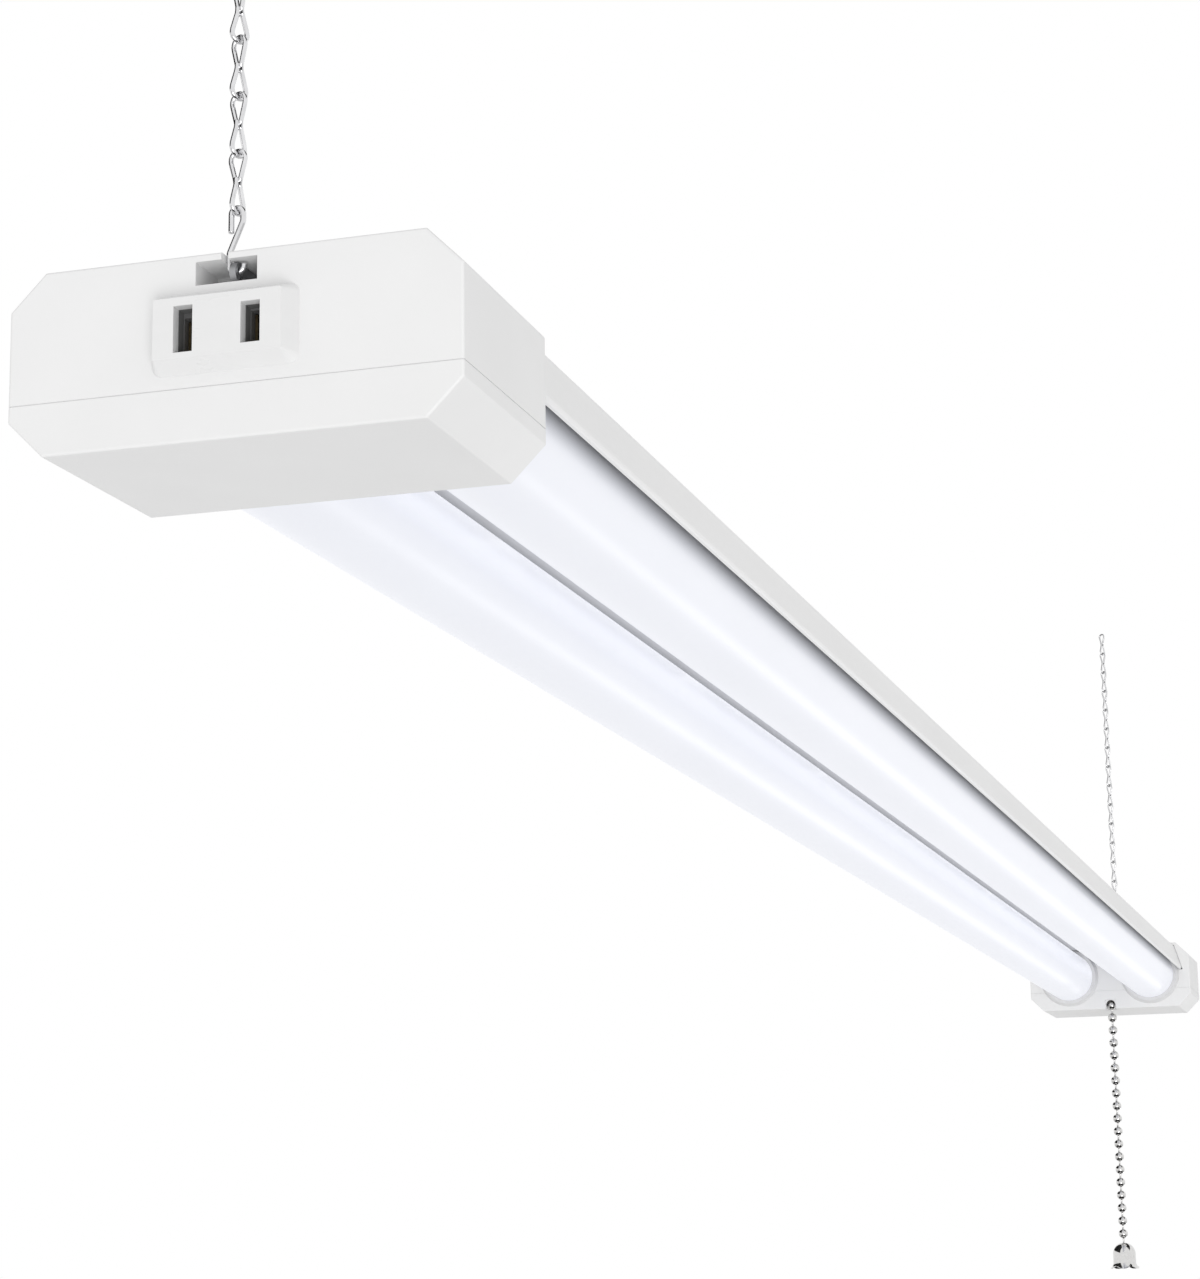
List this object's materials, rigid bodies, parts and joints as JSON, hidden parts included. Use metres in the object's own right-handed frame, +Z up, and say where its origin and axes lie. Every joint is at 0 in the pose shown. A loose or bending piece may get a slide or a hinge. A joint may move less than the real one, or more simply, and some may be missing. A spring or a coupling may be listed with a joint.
{
  "type": "hanging shop light",
  "caption": "Long hanging shop light: frosted tubes under a white sheet housing, end caps with a power socket and a pull-chain switch, hung from jack chains.",
  "frame": {"origin": "midway between the two ceiling hooks, on the line through the insides of the two top chain links", "axes": "+X along the light from the socket end to the switch end, +Y across it, +Z up"},
  "size_m": [1.2305, 0.086, 0.3542],
  "materials": {
    "housing_white": "satin white powder coat on folded steel sheet",
    "cap_white": "fine-textured moulded white plastic",
    "frosted_lens": "frosted polycarbonate tube with a soft sheen",
    "collar_grey": "soft light-grey sealing ring",
    "bare_aluminium": "extruded aluminium, unpainted",
    "board_white": "white solder mask",
    "led_package": "yellow phosphor in white packages",
    "zinc_screws": "zinc plated",
    "zinc_sheet": "zinc plated sheet",
    "chain_wire": "bright zinc plated wire",
    "bead_chrome": "nickel plated",
    "socket_white": "smooth moulded white plastic",
    "inner_plastic": "unpainted nylon",
    "slider_plastic": "dark acetal",
    "brass_contact": "stamped brass",
    "spring_steel": "bright spring steel",
    "grommet_rubber": "light rubber",
    "circuit_board": "green circuit board",
    "capacitor_can": "dark sleeve",
    "ferrite_black": "ferrite and tape",
    "copper_choke": "enamelled copper winding",
    "wire_black": "insulated wire",
    "wire_white": "insulated wire",
    "wire_blue": "insulated wire"
  },
  "bodies": {
    "ceiling_links": {"socket_end_ceiling_link": "chain_wire", "switch_end_ceiling_link": "chain_wire"},
    "socket_swing_link": {"socket_end_swing_link": "chain_wire"},
    "socket_chain": {"socket_end_chain": "chain_wire", "socket_end_hook": "chain_wire"},
    "fixture": {"channel_housing": "housing_white", "left_tube_lens": "frosted_lens", "right_tube_lens": "frosted_lens", "left_led_carrier": "bare_aluminium", "right_led_carrier": "bare_aluminium", "left_led_board": "board_white", "right_led_board": "board_white", "left_leds": "led_package", "right_leds": "led_package", "socket_cap_shell": "cap_white", "socket_cap_cover": "cap_white", "socket_cap_screws": "zinc_screws", "socket_end_left_collar": "collar_grey", "socket_end_right_collar": "collar_grey", "socket_hanger_bracket": "zinc_sheet", "switch_cap_shell": "cap_white", "switch_cap_cover": "cap_white", "switch_cap_screws": "zinc_screws", "switch_end_left_collar": "collar_grey", "switch_end_right_collar": "collar_grey", "switch_hanger_bracket": "zinc_sheet", "hanger_rivets": "zinc_sheet", "outlet_block": "socket_white", "outlet_neutral_contact": "brass_contact", "outlet_hot_contact": "brass_contact", "outlet_rear_cover": "inner_plastic", "outlet_retainer": "spring_steel", "switch_case": "inner_plastic", "switch_lid": "inner_plastic", "switch_contacts": "brass_contact", "return_spring": "spring_steel", "rotor_axle": "spring_steel", "cord_grommet": "grommet_rubber", "terminal_block": "inner_plastic", "driver_board": "circuit_board", "driver_capacitors": "capacitor_can", "driver_transformer": "ferrite_black", "driver_choke": "copper_choke", "driver_small_parts": "ferrite_black", "hot_wires": "wire_black", "neutral_wires": "wire_white", "switched_wire": "wire_blue", "tube_leads": "wire_white", "wire_clips": "inner_plastic"},
    "switch_chain": {"switch_end_chain": "chain_wire", "switch_end_hook": "chain_wire"},
    "switch_swing_link": {"switch_end_swing_link": "chain_wire"},
    "slider": {"pull_slider": "slider_plastic", "pull_chain_top_bead": "bead_chrome"},
    "rotor": {"switch_rotor": "slider_plastic", "contact_bridge": "brass_contact"},
    "pull_joint": {"pull_chain_joint": "bead_chrome"},
    "pull_upper": {"pull_chain_upper": "bead_chrome"},
    "pull_lower": {"pull_chain_lower": "bead_chrome"},
    "bell": {"pull_bell": "bead_chrome"}
  },
  "joints": [
    {"name": "sideways_swing", "type": "hinge", "parent": "ceiling_links", "child": "socket_swing_link", "pos_m": [-0.60795, 0, -0.01087], "axis": [1, 0, 0], "range_deg": [-20, 20]},
    {"name": "lengthwise_swing", "type": "hinge", "parent": "socket_swing_link", "child": "socket_chain", "pos_m": [-0.60795, 0, -0.02171], "axis": [0, 1, 0], "range_deg": [-15, 15]},
    {"name": "fixture_level", "type": "hinge", "parent": "socket_chain", "child": "fixture", "pos_m": [-0.60795, 0, -0.18479], "axis": [0, 1, 0], "range_deg": [-15, 15]},
    {"name": "switch_hook_turn", "type": "hinge", "parent": "fixture", "child": "switch_chain", "pos_m": [0.60795, 0, -0.18479], "axis": [0, 1, 0], "range_deg": [-15, 15]},
    {"name": "switch_link_turn", "type": "hinge", "parent": "switch_chain", "child": "switch_swing_link", "pos_m": [0.60795, 0, -0.02171], "axis": [0, 1, 0], "range_deg": [-15, 15]},
    {"name": "pull_stroke", "type": "slide", "parent": "fixture", "child": "slider", "axis": [0, 0, -1], "range_m": [0, 0.006], "stiffness_N_per_m": 800, "springref_m": -0.003, "deforming": ["return_spring"]},
    {"name": "switch_rock", "type": "hinge", "parent": "fixture", "child": "rotor", "pos_m": [0.585, 0, -0.20011], "axis": [0, 1, 0], "range_deg": [-42.11, 0]},
    {"name": "pull_sideways", "type": "hinge", "parent": "slider", "child": "pull_joint", "pos_m": [0.5688, 0, -0.21469], "axis": [1, 0, 0], "range_deg": [-20, 20]},
    {"name": "pull_lengthwise", "type": "hinge", "parent": "pull_joint", "child": "pull_upper", "pos_m": [0.5688, 0, -0.21888], "axis": [0, 1, 0], "range_deg": [-20, 20]},
    {"name": "pull_bend", "type": "hinge", "parent": "pull_upper", "child": "pull_lower", "pos_m": [0.5688, 0, -0.27544], "axis": [0, 1, 0], "range_deg": [-20, 20]},
    {"name": "bell_tilt", "type": "hinge", "parent": "pull_lower", "child": "bell", "pos_m": [0.5688, 0, -0.34251], "axis": [1, 0, 0], "range_deg": [-10, 10]}
  ],
  "couplings": [
    {"joint": "fixture_level", "follows": "lengthwise_swing", "ratio": -1},
    {"joint": "switch_hook_turn", "follows": "lengthwise_swing", "ratio": 1},
    {"joint": "switch_link_turn", "follows": "lengthwise_swing", "ratio": -1},
    {"joint": "switch_rock", "follows": "pull_stroke", "rad_per_m": -119.59}
  ]
}
